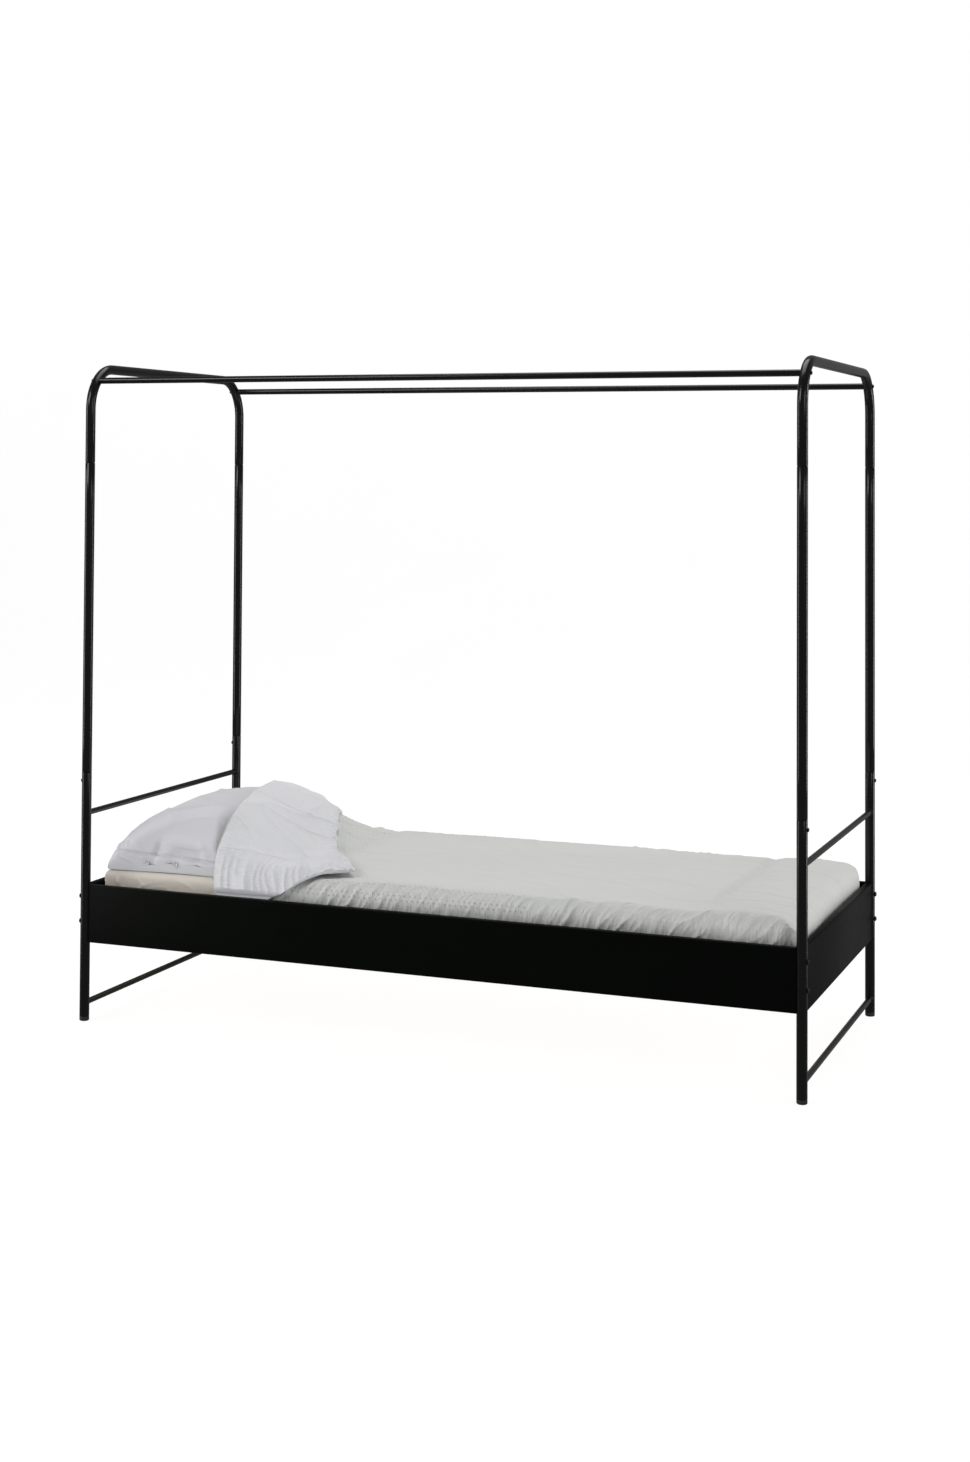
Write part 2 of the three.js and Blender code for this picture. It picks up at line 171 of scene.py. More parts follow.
# a material being made: one Principled surface and the nodes that feed it
class Finish:

    def __init__(self, name, **fixed):
        self.material = bpy.data.materials.new(name)
        self.material.use_nodes = True
        self.tree = self.material.node_tree
        self.surface = self.tree.nodes["Principled BSDF"]
        for key, value in fixed.items():
            self.surface.inputs[key.replace("_", " ")].default_value = value
        self.place = self.node("ShaderNodeTexCoord", out="Object")

    def node(self, kind, settings=None, out=0, **sockets):
        made = self.tree.nodes.new(kind)
        for key, value in (settings or {}).items():
            if key == "stops":
                ramp = made.color_ramp
                while len(ramp.elements) < len(value):
                    ramp.elements.new(0.5)
                for element, (at, colour) in zip(ramp.elements, value):
                    element.position, element.color = at, (*colour, 1)
            else:
                setattr(made, key, value)
        for key, value in sockets.items():
            numbered = key.startswith("in") and key[2:].isdigit()  # in0, in6 and so on, by place
            plug(self.tree, value, made.inputs[int(key[2:]) if numbered else key.replace("_", " ")])
        return Wire(self.tree, made.outputs[out])

    def axis(self, letter, source=None):
        return self.node("ShaderNodeSeparateXYZ", out=letter, in0=source or self.place)

    def stretched(self, x, y, z):
        return self.node("ShaderNodeMapping", in0=self.place, Scale=(x, y, z))

    def noise(self, scale, detail=2.0, rough=0.5, at=None, distortion=0.0):
        return self.node(
            "ShaderNodeTexNoise", Vector=at or self.place, Scale=scale, Detail=detail, Roughness=rough,
            Distortion=distortion,
        )

    def tint(self, amount, low, high):
        return self.node(
            "ShaderNodeMix", {"data_type": "RGBA"}, out=2, in0=amount, in6=(*low, 1), in7=(*high, 1)
        )

    def ramp(self, value, low, high):
        eased = {"interpolation_type": "SMOOTHSTEP"}
        return self.node("ShaderNodeMapRange", eased, in0=value, in1=low, in2=high)

    # what feeds a socket of the surface so far
    def fed(self, key):
        return Wire(self.tree, self.surface.inputs[key].links[0].from_socket)

    def feed(self, **links):
        for key, value in links.items():
            plug(self.tree, value, self.surface.inputs[key.replace("_", " ")])

    def bump(self, height, distance, strength=1.0, under=None):
        made = {"Strength": strength, "Distance": distance, "Height": height}
        if under:
            made["Normal"] = under
        return self.node("ShaderNodeBump", **made)


# black powder coat: an even skin with a fine orange peel; noise scales are in waves to the metre
def powderCoat(name, base, rough=0.36, gloss=0.16):
    paint = Finish(name, Specular_IOR_Level=gloss)
    cloud = paint.noise(9, 3)
    peel = paint.noise(1100, 2)
    speck = paint.noise(2600, 1)
    smear = paint.noise(26, 4, 0.6)
    paint.feed(
        Base_Color=paint.tint(cloud, [c * 0.8 for c in base], [c * 1.35 for c in base]),
        Roughness=rough - 0.06 + smear * 0.09 + speck * 0.03,
        Normal=paint.bump(speck, 0.00002, 0.5, paint.bump(peel, 0.00006, 0.6)),
    )
    return paint.material


def zincBlack(name):
    steel = Finish(name, Metallic=0.7, Specular_IOR_Level=0.5)
    wear = steel.ramp(steel.noise(420, 3, 0.7), 0.56, 0.72)
    steel.feed(
        Base_Color=steel.tint(wear, (0.012, 0.012, 0.013), (0.09, 0.09, 0.095)),
        Roughness=0.3 + steel.noise(900, 2) * 0.16,
        Normal=steel.bump(steel.noise(1500, 2), 0.00004, 0.4),
    )
    return steel.material


def mouldedPlastic(name):
    plastic = Finish(name, Specular_IOR_Level=0.4)
    grain = plastic.noise(1900, 2)
    plastic.feed(
        Base_Color=plastic.tint(plastic.noise(60, 2), (0.010, 0.010, 0.011), (0.022, 0.022, 0.023)),
        Roughness=0.5 + grain * 0.2,
        Normal=plastic.bump(grain, 0.00008, 0.5),
    )
    return plastic.material


def pine(name):
    wood = Finish(name, Specular_IOR_Level=0.35)
    along = wood.stretched(26, 2.2, 26)
    warp = wood.noise(1.6, 3, at=along)
    rings = ((wood.axis("X", along) + wood.axis("Z", along) * 0.6 + warp * 7) * 5.0).sin() * 0.5 + 0.5
    pores = wood.noise(60, 3, 0.6, at=wood.stretched(14, 0.8, 14))
    shade = rings * 0.55 + pores * 0.45
    wood.feed(
        Base_Color=wood.tint(shade, (0.46, 0.29, 0.13), (0.72, 0.53, 0.31)),
        Roughness=0.52 + pores * 0.2,
        Normal=wood.bump(shade, 0.0003, 0.35),
    )
    return wood.material


# warp and weft of a plain weave, from 0 to 1
def thread(cloth, pitch, skew=0.0):
    turn = 2 * math.pi / pitch
    x, y, z = (cloth.axis(a) for a in "XYZ")
    warp = ((x + z * skew) * turn).sin() * 0.5 + 0.5
    weft = ((y + z) * turn).sin() * 0.5 + 0.5
    return warp * 0.5 + weft * 0.5


def cotton(name, shade, deep, sheen, rough, pitch=0.0011, slub=0.35, gloss=0.2):
    cloth = Finish(name, Sheen_Weight=sheen, Sheen_Roughness=0.4, Specular_IOR_Level=gloss)
    weave = thread(cloth, pitch)
    drift = cloth.noise(3.2, 4, 0.55)
    slubs = cloth.noise(1, 3, 0.6, at=cloth.stretched(34, 420, 60))
    creases = cloth.noise(34, 5, 0.62, distortion=0.6)
    cloth.feed(
        Base_Color=cloth.tint(drift * 0.5 + slubs * slub * 0.5 + weave * 0.15, deep, shade),
        Roughness=rough + weave * 0.08,
        Normal=cloth.bump(weave, 0.00022, 0.4, cloth.bump(creases, 0.0016, 0.32)),
    )
    return cloth


# the turned-back lining: pin-tucks run across it near the fold and low down, and fade over the pairs
pleats = dict(pitch=0.0078, lean=0.35, fold=(-0.74, -0.60), low=(0.47, 0.56), strength=0.55)


def pleatedCotton(name, shade, deep):
    cloth = cotton(name, shade, deep, 0.25, 0.62)
    x, y, z = (cloth.axis(a) for a in "XYZ")
    across = z * 0.8 + y * pleats["lean"] + cloth.noise(7, 2) * 0.01
    tuck = (across * (2 * math.pi / pleats["pitch"])).sin() * 0.5 + 0.5
    foldSide = 1 - cloth.ramp(x + y * pleats["lean"] + cloth.noise(5, 2) * 0.05, *pleats["fold"])
    low = 1 - cloth.ramp(z, *pleats["low"])
    tucks = tuck ** 1.6 * foldSide.atLeast(low * 0.75)
    cloth.feed(Normal=cloth.bump(tucks, 0.0022, pleats["strength"], cloth.fed("Normal")))
    return cloth.material


# the duvet's face: rows of eyelet dots run across its head end, down to the hem, and creases slant in from
# its near edge; the pairs are where dots and creases fade
dots = dict(
    pitch=0.0155, hole=0.0021, top=0.457, head=(-0.66, -0.60), foot=(0.285, 0.30), sides=(0.33, 0.40),
    across=(-0.40, -0.36), group=4, gap=(0.12, 0.16), shade=(0.16, 0.17, 0.16, 1), creases=(0.36, 0.44),
)


def dottedCotton(name, shade, deep):
    pitch, hole = dots["pitch"], dots["hole"]
    cloth = cotton(name, shade, deep, 0.2, 0.66)
    x, y, z = (cloth.axis(a) for a in "XYZ")
    row = y + (dots["top"] - z) * ((y > 0) * 2 - 1)  # keeps its pitch round the edge of the mattress
    shifted = x + ((row / pitch).floor() % 2) * (pitch / 2)
    dx = (shifted % pitch) - pitch / 2
    dy = (row % pitch) - pitch / 2
    far = (dx * dx + dy * dy) ** 0.5
    dot = 1 - cloth.ramp(far, hole * 0.55, hole)
    rim = (1 - cloth.ramp((far - hole * 1.25).abs(), 0.0, hole * 0.6)) * 0.8
    band = cloth.ramp(x, *dots["head"]) * (1 - cloth.ramp(x, *dots["foot"]))
    sides = cloth.ramp(y.abs(), *dots["sides"]).atLeast(1 - cloth.ramp(x, *dots["across"]))
    group = cloth.ramp(((row / (pitch * dots["group"])) % 1 - 0.5).abs(), *dots["gap"])
    shown = band * sides * group
    slanted = cloth.node("ShaderNodeCombineXYZ", X=(x - y * 0.55) * 80, Y=y * 15, Z=z * 15)
    lines = cloth.noise(1, 3, 0.55, at=slanted, distortion=0.9)
    creased = (1 - ((lines - 0.5).abs() * 5).atMost(1)) * cloth.ramp(-y, *dots["creases"])
    creasedNormal = cloth.bump(creased, 0.0035, 0.6, cloth.fed("Normal"))
    cloth.feed(
        Base_Color=cloth.node(
            "ShaderNodeMix", {"data_type": "RGBA"}, out=2, in0=dot * shown * 0.6, in6=cloth.fed("Base Color"),
            in7=dots["shade"],
        ),
        Normal=cloth.bump((rim - dot) * shown, 0.0012, 0.7, creasedNormal),
    )
    return cloth.material


# mattress cover: quilted in diamonds
def ticking(name, pitch=0.11):
    cloth = cotton(name, (0.80, 0.78, 0.73), (0.68, 0.66, 0.61), 0.2, 0.75, 0.0016)
    x, y, z = (cloth.axis(a) for a in "XYZ")
    step = 2 * math.pi / pitch
    quilt = (((x + y + z) * step).sin().abs() * ((x - y + z) * step).sin().abs()) ** 0.35
    cloth.feed(Normal=cloth.bump(quilt, 0.006, 0.8, cloth.fed("Normal")))
    return cloth.material


def webbingBand(name):
    band = Finish(name, Specular_IOR_Level=0.2, Sheen_Weight=0.2)
    x, y = band.axis("X"), band.axis("Y")
    ribs = ((x * 2600).sin() * 0.5 + 0.5) * 0.6 + ((y * 3400).sin() * 0.5 + 0.5) * 0.4
    band.feed(
        Base_Color=band.tint(ribs, (0.55, 0.53, 0.47), (0.80, 0.78, 0.72)),
        Roughness=0.75 + ribs * 0.1,
        Normal=band.bump(ribs, 0.0004, 0.6),
    )
    return band.material


def shellButton(name):
    shell = Finish(name, Coat_Weight=0.5, Coat_Roughness=0.12, Specular_IOR_Level=0.5)
    cloud = shell.noise(260, 3, 0.6)
    shell.feed(
        Base_Color=shell.tint(cloud, (0.34, 0.34, 0.36), (0.60, 0.60, 0.62)),
        Roughness=0.2 + cloud * 0.15,
        Normal=shell.bump(cloud, 0.0001, 0.3),
    )
    return shell.material


finishes = {
    "black_steel": powderCoat("powderCoatBlack", (0.0016, 0.0020, 0.0017), 0.20, 0.34),
    "bolt_steel": zincBlack("boltBlack"),
    "glide_plastic": mouldedPlastic("glideBlack"),
    "slat_wood": pine("slatPine"),
    "slat_webbing": webbingBand("slatWebbing"),
    "mattress_ticking": ticking("mattressTicking"),
    "sheet_cotton": cotton(
        "sheetBeige", (0.70, 0.655, 0.585), (0.62, 0.575, 0.51), 0.1, 0.82, gloss=0.08,
    ).material,
    "pillow_cotton": cotton("pillowSatin", (0.66, 0.66, 0.685), (0.58, 0.58, 0.61), 0.3, 0.5).material,
    "duvet_cotton": dottedCotton("duvetSage", (0.645, 0.65, 0.63), (0.585, 0.595, 0.57)),
}
panelCoat = powderCoat("powderCoatPanel", (0.0012, 0.0018, 0.0012), 0.42, 0.05)
liningCotton = pleatedCotton("duvetLining", (0.70, 0.70, 0.725), (0.64, 0.64, 0.665))
buttonShell = shellButton("buttonShell")
print("finishes made")


# one piece from several grids of points: (rows, closed across, closed along) each
def joinedGrids(name, grids, finish=None, body="frame", slot=None, replaced=()):
    points, faces, start = [], [], 0
    for rows, across, along in grids:
        rows = np.asarray(rows, float)
        count, width = rows.shape[:2]
        index = start + np.arange(count * width).reshape(count, width)
        if across:
            index = np.concatenate([index, index[:, :1]], 1)
        if along:
            index = np.concatenate([index, index[:1]], 0)
        quads = np.stack([index[:-1, :-1], index[:-1, 1:], index[1:, 1:], index[1:, :-1]], -1)
        faces.append(quads.reshape(-1, 4))
        points.append(rows.reshape(-1, 3))
        start += count * width
    mesh = bpy.data.meshes.new(name)
    mesh.from_pydata(np.concatenate(points).tolist(), [], np.concatenate(faces).tolist())
    mesh.validate()
    mesh.update()
    mesh.polygons.foreach_set("use_smooth", [True] * len(mesh.polygons))
    piece = bpy.data.objects.new(name, mesh)
    bpy.context.scene.collection.objects.link(piece)
    mesh.materials.append(finish or finishes[slot])
    if body:
        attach(piece, body)
    if replaced:
        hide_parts(*replaced)
    return piece


def gridPiece(name, rows, across=False, **kept):
    return joinedGrids(name, [(rows, across, False)], **kept)


def ring(radius, segments=64):
    turn = np.linspace(0, 2 * math.pi, segments, endpoint=False)
    radius = np.broadcast_to(radius, turn.shape)
    return np.stack([radius * np.cos(turn), radius * np.sin(turn), np.zeros(segments)], -1)


# rings up the Z axis from (radius, height) pairs
def turnedRows(profile, segments=64):
    return np.array([ring(max(r, 1e-6), segments) + (0, 0, z) for r, z in profile])


# turns rows made up +Z so that they point along direction
def toAxis(rows, direction):
    turn = np.array(Vector((0, 0, 1)).rotation_difference(Vector(direction)).to_matrix())
    return rows @ turn.T


# a 2-D path with its inner corners rounded
def roundedPath(points, radius, steps=6):
    points = [np.array(p, float) for p in points]
    path = [points[0]]
    for before, at, after in zip(points, points[1:], points[2:]):
        inward = (before - at) / np.linalg.norm(before - at)
        outward = (after - at) / np.linalg.norm(after - at)
        start, end = at + inward * radius, at + outward * radius
        for i in range(steps + 1):
            t = i / steps
            path.append((1 - t) ** 2 * start + 2 * t * (1 - t) * at + t**2 * end)
    path.append(points[-1])
    return np.array(path)


# the two faces of a bent sheet whose middle follows a 2-D path
def foldedSheet(path, thickness):
    ahead = np.gradient(path, axis=0)
    ahead /= np.linalg.norm(ahead, axis=1)[:, None]
    side = np.stack([-ahead[:, 1], ahead[:, 0]], -1) * thickness / 2
    return path + side, path - side


# rows of a folded sheet run between two stations, with its cut ends closed
def sheetRows(path, thickness, along, ends, soft=0.0003):
    outer, inner = foldedSheet(path, thickness)
    middle = (outer + inner) / 2
    loop = np.concatenate([outer, inner[::-1]])
    seam = np.concatenate([middle, middle[::-1]])
    narrowed = loop * 0.8 + seam * 0.2
    low, high = ends
    stations = [(low, seam), (low, narrowed), (low + soft, loop)]
    stations += [(high - soft, loop), (high, narrowed), (high, seam)]
    return np.array([[along(station, a, b) for a, b in shape] for station, shape in stations])


# the frame's tubes: bore and spigot radii, the broken cut edges, and how far ends go into other tubes
steel = dict(
    bore=postRadius - 0.0015, spigot=postRadius - 0.0018, spigotWall=0.0015, spigotReach=0.05,
    spigotTip=0.0005, cutEdge=0.0007, boreSeen=0.06, bendRadius=0.12, bar=0.008, barSunk=0.8,
    rail=0.009, railSunk=0.72,
)


# profile of a cut tube end with a broken edge, from the outside in
def lip(radius, z, up, bore):
    s = 1 if up else -1
    edge = steel["cutEdge"]
    return [(radius, z - s * edge), (radius - edge * 0.3, z - s * edge * 0.3), (radius - edge, z), (bore, z)]


# profile of a straight tube with both ends hidden
def plainTube(radius, reach, parts):
    return [(radius, -reach + 2 * reach * k / parts) for k in range(parts + 1)]


def makeLegs(parts=6):
    bore = steel["bore"]
    for name, at in corners.items():
        profile = [(bore, legLow)] + lip(postRadius, legLow, False, bore)[::-1]
        profile += [(postRadius, legLow + (legTop - legLow) * k / parts) for k in range(1, parts)]
        profile += lip(postRadius, legTop, True, bore) + [(bore, legTop - steel["boreSeen"])]
        rows = turnedRows(profile) + (at.x, at.y, 0)
        gridPiece(f"legTube_{name}", rows, across=True, slot="black_steel", replaced=[f"leg_{name}"])


# posts, with a spigot at each end
def makePosts(parts=8):
    spigot, reach, tip, edge = (steel[key] for key in ("spigot", "spigotReach", "spigotTip", "cutEdge"))
    inner = spigot - steel["spigotWall"]
    low, high = (point.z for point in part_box("post_foot_near"))
    low, high = low + reach, high - reach
    for name, at in corners.items():
        profile = [(inner, low - reach), (spigot - tip, low - reach), (spigot, low - reach + tip)]
        profile += [(spigot, low), (postRadius - edge, low), (postRadius, low + edge)]
        profile += [(postRadius, low + (high - low) * k / parts) for k in range(1, parts)]
        profile += [(postRadius, high - edge), (postRadius - edge, high), (spigot, high)]
        profile += [(spigot, high + reach - tip), (inner, high + reach)]
        rows = turnedRows(profile) + (at.x, at.y, 0)
        gridPiece(f"postTube_{name}", rows, across=True, slot="black_steel", replaced=[f"post_{name}"])


# (centre, turn) down the middle of an arch's tube, from its near foot to its far one
def archStations(x, steps=28):
    bend, edge = steel["bendRadius"], steel["cutEdge"]
    stations = [((x, -postY, archFoot), 0.0), ((x, -postY, archFoot + edge), 0.0)]
    for side in (-1, 1):
        for i in range(steps + 1):
            turn = i / steps * math.pi / 2
            lift = turn if side < 0 else math.pi / 2 - turn
            y, z = postY - bend + bend * math.cos(lift), archTop - bend + bend * math.sin(lift)
            stations.append(((x, side * y, z), turn if side < 0 else math.pi / 2 + turn))
    return stations + [((x, postY, archFoot + edge), math.pi), ((x, postY, archFoot), math.pi)]


def makeArches():
    cutRadius = postRadius - steel["cutEdge"]
    for end, x in (("head", -postX), ("foot", postX)):
        rows = []
        stations = archStations(x)
        for i, (centre, turn) in enumerate(stations):
            circle = ring(cutRadius if i in (0, len(stations) - 1) else postRadius)
            # the ring's own Y leans over as the tube turns from up, through across, to down
            leant = [circle[:, 0], circle[:, 1] * math.cos(turn), -circle[:, 1] * math.sin(turn)]
            rows.append(np.stack(leant, -1) + centre)
        for k in (0, -1):  # the mouths of its two bores
            centre = np.array(stations[k][0])
            mouth = centre + (rows[k] - centre) * steel["bore"] / cutRadius
            bore = [mouth + (0, 0, steel["boreSeen"]), mouth]
            rows = bore + rows if k == 0 else rows + bore[::-1]
        gridPiece(f"archTube_{end}", rows, across=True, slot="black_steel", replaced=[f"arch_{end}"])


def makeRails():
    profile = plainTube(steel["rail"], postX - postRadius * steel["railSunk"], 10)
    for side, sy in (("near", -1), ("far", 1)):
        rows = toAxis(turnedRows(profile), (1, 0, 0)) + (0, sy * railY, railZ)
        gridPiece(f"railTube_{side}", rows, across=True, slot="black_steel", replaced=[f"canopy_rail_{side}"])


# cross bars, with a weld where each meets a leg
def makeBars():
    profile = plainTube(steel["bar"], postY - postRadius * steel["barSunk"], 8)
    for end, x in (("head", -postX), ("foot", postX)):
        for level in ("upper", "lower"):
            low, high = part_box(f"{level}_bar_{end}")
            z = (low.z + high.z) / 2
            grids = [(toAxis(turnedRows(profile, 48), (0, 1, 0)) + (x, 0, z), True, False)]
            grids += [(weldBead(x, sy, z), True, True) for sy in (-1, 1)]
            joinedGrids(f"{level}Bar_{end}", grids, slot="black_steel", replaced=[f"{level}_bar_{end}"])


# a lumpy ring of weld round a bar
def weldBead(x, sy, z, radius=0.0086, bead=0.0019, steps=72, sides=10):
    rows = []
    for i in range(steps):
        turn = 2 * math.pi * i / steps
        c, s = math.cos(turn), math.sin(turn)
        size = bead * (1 + 0.16 * math.sin(turn * 15) + 0.1 * math.sin(turn * 7 + x))
        y = sy * (postY - math.sqrt(postRadius**2 - (radius * c) ** 2))
        loop = []
        for j in range(sides):
            roll = 2 * math.pi * j / sides
            r = radius + size * math.cos(roll)
            loop.append((x + r * c, y + size * math.sin(roll), z + r * s))
        rows.append(loop)
    return rows


makeLegs()
makePosts()
makeArches()
makeRails()
makeBars()
print("tubes made")


# folded steel panels
panel = dict(depth=0.020, proud=0.008, lip=0.009, sheet=0.0015, fold=0.0032, endGap=0.0002)


def channelPath():
    inset = panel["sheet"] / 2
    top, deep, lipDepth = panelTop - panelLow - inset, panel["depth"] - inset, panel["lip"]
    outline = [(deep, lipDepth), (deep, inset), (inset, inset), (inset, top), (deep, top)]
    return roundedPath(outline + [(deep, top - lipDepth + inset)], panel["fold"])


def makePanels():
    path, sheet = channelPath(), panel["sheet"]
    for side, sy in (("near", -1), ("far", 1)):
        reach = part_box(f"side_panel_{side}")[1].x - panel["endGap"]
        face = postY + panel["proud"]
        rows = sheetRows(path, sheet, lambda u, a, b: (u, sy * (face - a), panelLow + b), (-reach, reach))
        grids = [(rows, True, False)]
        for end in (-1, 1):
            grids += endPlate(end, sy)
        joinedGrids(f"sidePanel_{side}", grids, finish=panelCoat, slot="black_steel",
                    replaced=[f"side_panel_{side}"])
    for end, sx in (("head", -1), ("foot", 1)):
        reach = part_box(f"end_panel_{end}")[1].y
        face = postX + panel["proud"]
        rows = sheetRows(path, sheet, lambda u, a, b: (sx * (face - a), u, panelLow + b), (-reach, reach))
        gridPiece(f"endPanel_{end}", rows, across=True, finish=panelCoat, slot="black_steel",
                  replaced=[f"end_panel_{end}"])


# half sizes of the thick plate inside a side panel's end, and the outline of the nuts welded to it
plate = dict(
    half=(0.0014, 0.0088), offPost=0.0018, inset=0.002,
    nut=[(0.0045, 0), (0.0066, 0), (0.0073, 0.0008), (0.0073, 0.0062), (0.0066, 0.007), (0.0045, 0.007),
         (0.0045, 0.0)],
)


def endPlate(end, sy):
    x = end * (postX - postRadius - plate["offPost"])
    centre = np.array([x, sy * (postY - plate["inset"]), (panelLow + panelTop) / 2])
    half = np.array([*plate["half"], (panelTop - panelLow) / 2 - plate["inset"]])
    rows = []
    for sx, k in ((-1, 0.0), (-1, 0.94), (-0.7, 1.0), (0.7, 1.0), (1, 0.94), (1, 0.0)):
        rows.append([centre + half * (sx, a * k, b * k) for a, b in ((-1, -1), (1, -1), (1, 1), (-1, 1))])
    grids = [(rows, True, False)]
    for name in ("lower", "upper"):
        low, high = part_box(f"side_bolt_foot_near_{name}")
        place = (x - end * plate["half"][0], sy * postY, (low.z + high.z) / 2)
        grids.append((toAxis(turnedRows(plate["nut"], 6), (-end, 0, 0)) + place, True, False))
    return grids


# domed socket heads on short shanks: head radius of each kind, then shares of that radius and of the height
bolt = dict(
    heads={"side_bolt": 0.0070, "seam_bolt": 0.0055, "rail_bolt": 0.0055},
    dome=[(1, 0), (1, 0.28), (0.94, 0.52), (0.80, 0.76), (0.62, 0.93), (0.46, 1)],
    socket=0.36, socketRings=[(1, 0.98), (0.98, 0.40), (0.05, 0.34)], shank=0.5, shankLong=0.004, around=48,
)


def makeBolts():
    around = bolt["around"]
    turn = np.linspace(0, 2 * math.pi, around, endpoint=False)
    hexagon = bolt["socket"] / np.maximum(np.cos(turn % (math.pi / 3) - math.pi / 6), 0.5)
    rings = bolt["dome"] + [(hexagon * share, up) for share, up in bolt["socketRings"]]
    for node in sorted(nodes):
        words = node.split("_")
        head = bolt["heads"].get("_".join(words[:2]))
        if not head:
            continue
        low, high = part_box(node)
        sx = 1 if high.x > 0 else -1
        seat = postX + postRadius
        tall = (high.x if sx > 0 else -low.x) - seat
        shank = ring(head * bolt["shank"], around)
        rows = [shank + (0, 0, -bolt["shankLong"]), shank]
        rows += [ring(head * share, around) + (0, 0, tall * up) for share, up in rings]
        piece = toAxis(np.array(rows), (sx, 0, 0)) + (sx * seat, (low.y + high.y) / 2, (low.z + high.z) / 2)
        label = words[0] + "".join(word.capitalize() for word in words[1:])
        gridPiece(f"{label}Head", piece, across=True, slot="bolt_steel", replaced=[node])


# the plain CAD pieces that stay: their edges are broken and their finish goes on
broken = dict(slatEdge=0.003, edge=0.0004, weld=0.00002, segments=3, sharpAngle=40)


def softenNodes():
    slots = {entry["node"]: entry["material_slot"] for entry in frame["record"]["subparts"]}
    for name, piece in nodes.items():
        if piece.hide_render:
            continue
        piece.data.materials.clear()
        piece.data.materials.append(finishes[slots[name]])
        weld = piece.modifiers.new("weld", "WELD")
        weld.merge_threshold = broken["weld"]
        edge = piece.modifiers.new("edge", "BEVEL")
        edge.width = broken["slatEdge"] if name.startswith(("slat_0", "slat_1")) else broken["edge"]
        edge.segments, edge.limit_method = broken["segments"], "ANGLE"
        edge.angle_limit = math.radians(broken["sharpAngle"])
        edge.harden_normals = True
        piece.data.polygons.foreach_set("use_smooth", [True] * len(piece.data.polygons))


makePanels()
makeBolts()
print("panels and bolts made")


# an eased step from 0 at low to 1 at high
def smoothstep(value, low, high):
    t = np.clip((value - low) / (high - low), 0, 1)
    return t * t * (3 - 2 * t)


# a smooth hump of height 1
def hump(value, middle, width):
    return np.exp(-(((value - middle) / width) ** 2))


# smooth 2-D noise from -1 to 1 with the given cell size
def softNoise(x, y, cell, seed, size=256, shift=(97.3, 41.7)):
    table = np.random.default_rng(seed).random((size, size)) * 2 - 1
    u, v = np.asarray(x) / cell + shift[0], np.asarray(y) / cell + shift[1]
    i, j = np.floor(u).astype(int), np.floor(v).astype(int)
    a, b = u - i, v - j
    a, b = a * a * (3 - 2 * a), b * b * (3 - 2 * b)
    pick = lambda p, q: table[p % size, q % size]
    low = pick(i, j) * (1 - a) + pick(i + 1, j) * a
    high = pick(i, j + 1) * (1 - a) + pick(i + 1, j + 1) * a
    return low * (1 - b) + high * b


def fractal(x, y, cell, seed, octaves=4):
    total = 0.0
    for k in range(octaves):
        total = total + softNoise(x, y, cell / 2**k, seed + k) / 2**k
    return total


# folds from 0 to 1 with narrow crests
def ridges(phase, sharp=2.0):
    return (1 - np.abs(np.sin(phase))) ** sharp


# rings of a block with rounded corners; profile gives (inset, height) pairs
def roundedBlock(halfX, halfY, corner, profile, count=240, straight=1.6):
    turn = np.linspace(0, 2 * math.pi, count, endpoint=False)
    rows = []
    for inset, z in profile:
        r = max(corner - inset, 0.002)
        c, s = np.cos(turn), np.sin(turn)
        flatX, flatY = halfX - inset - r, halfY - inset - r
        # walks round the outline by angle; straight sets how much of the turn the straight runs take
        px = np.sign(c) * flatX * np.minimum(np.abs(c) * straight, 1) + r * c
        py = np.sign(s) * flatY * np.minimum(np.abs(s) * straight, 1) + r * s
        rows.append(np.stack([px, py, np.full(count, z)], -1))
    return np.array(rows)


# (inset, drop) pairs round a quarter turn, from the top of an edge down to its side
def quarter(edge, count):
    turns = np.linspace(0, math.pi / 2, count)
    return [(edge - edge * math.sin(t), edge - edge * math.cos(t)) for t in turns]


# the faces are rings that get smaller towards the middle, and piping runs round both edges
mattress = dict(
    corner=0.045, edge=0.016, inset=0.001, rings=(0.42, 0.2), dish=0.0005, bulge=0.0008,
    piping=0.0026, pipingInset=0.0040,
)


def makeMattress():
    low, high = mattressLow, mattressHigh
    halfX, halfY, tall = high.x - mattress["inset"], high.y - mattress["inset"], high.z - low.z
    edge, dish, (middle, halfway) = mattress["edge"], mattress["dish"], mattress["rings"]
    arc = quarter(edge, 7)
    profile = [(middle, low.z), (halfway, low.z + dish)]
    profile += [(a, low.z + b) for a, b in arc]
    profile += [(-mattress["bulge"], low.z + tall * k / 6) for k in range(1, 6)]
    profile += [(a, high.z - b) for a, b in arc[::-1]] + [(halfway, high.z - dish), (middle, high.z)]
    grids = [(roundedBlock(halfX, halfY, mattress["corner"], profile), True, False)]
    turns = np.linspace(0, 2 * math.pi, 10, endpoint=False)
    for z in (low.z + edge * 0.55, high.z - edge * 0.55):
        line = roundedBlock(halfX, halfY, mattress["corner"], [(mattress["pipingInset"], z)])[0]
        out = line * (1, 1, 0)
        out /= np.linalg.norm(out, axis=1)[:, None]
        cord = [out * math.cos(t) + (0, 0, math.sin(t)) for t in turns]
        grids.append(([line + around * mattress["piping"] for around in cord], True, True))
    piece = joinedGrids("mattressBody", grids, body="mattress", slot="mattress_ticking",
                        replaced=["mattress"])


# the sheet's folds stand out only where it is bare: bare gives (from, to) along the bed at each side
sheetSize = dict(
    flat=(1.13, 2.23), corner=0.047, edge=0.020, rings=(0.40, 0.30, 0.20, 0.12, 0.06), around=2400, down=22,
    pleat=0.007, wave=0.0020, fold=0.0045, gather=0.0012, ripple=0.0004,
    bareNear=(0.64, 0.69), bareFar=(0.79, 0.84),
)


